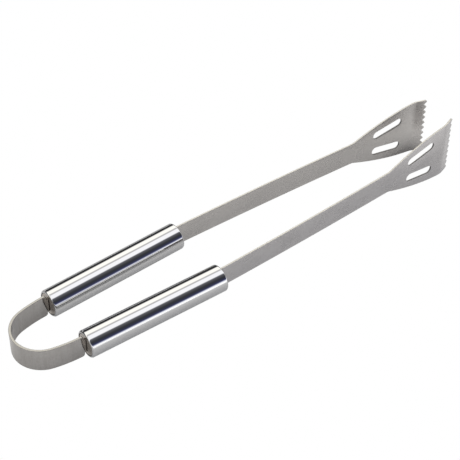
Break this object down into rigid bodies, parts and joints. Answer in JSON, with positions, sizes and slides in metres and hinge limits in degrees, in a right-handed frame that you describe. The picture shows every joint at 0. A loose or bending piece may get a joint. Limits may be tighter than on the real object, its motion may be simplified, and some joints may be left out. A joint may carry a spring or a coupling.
{
  "type": "spring loaded kitchen tongs",
  "caption": "Long barbecue tongs: a bent spring strip joins two polished tube handles whose satin arms end in slotted, toothed heads that face each other.",
  "frame": {"origin": "centre of the bounding box's bottom face, midway between the arms and level with the lower edges of the heads", "axes": "+X from the spring towards the heads, +Y towards the far arm, +Z across the strips, up when the tongs lie on edge"},
  "size_m": [0.4172, 0.08, 0.053],
  "materials": {
    "spring_steel": "satin stainless spring steel",
    "far_polished_steel": "mirror-polished stainless steel",
    "far_rear_cap_steel": "dull stainless steel",
    "far_front_cap_steel": "dull stainless steel",
    "far_arm_steel": "satin stainless steel, brushed along its length",
    "near_polished_steel": "mirror-polished stainless steel",
    "near_rear_cap_steel": "dull stainless steel",
    "near_front_cap_steel": "dull stainless steel",
    "near_arm_steel": "satin stainless steel, brushed along its length"
  },
  "bodies": {
    "spring": {"spring_strip": "spring_steel"},
    "far_side": {"far_handle_tube": "far_polished_steel", "far_rear_cap": "far_rear_cap_steel", "far_front_cap": "far_front_cap_steel", "far_arm": "far_arm_steel"},
    "near_side": {"near_handle_tube": "near_polished_steel", "near_rear_cap": "near_rear_cap_steel", "near_front_cap": "near_front_cap_steel", "near_arm": "near_arm_steel"}
  },
  "joints": [
    {"name": "far_flex", "type": "hinge", "parent": "spring", "child": "far_side", "pos_m": [-0.19057, 0.017, 0.0265], "axis": [0, 0, -1], "range_deg": [0, 2.05], "stiffness_Nm_per_rad": 15, "deforming": ["spring_strip"]},
    {"name": "near_flex", "type": "hinge", "parent": "spring", "child": "near_side", "pos_m": [-0.19057, -0.017, 0.0265], "axis": [0, 0, 1], "range_deg": [0, 2.05], "stiffness_Nm_per_rad": 15, "deforming": ["spring_strip"]}
  ]
}
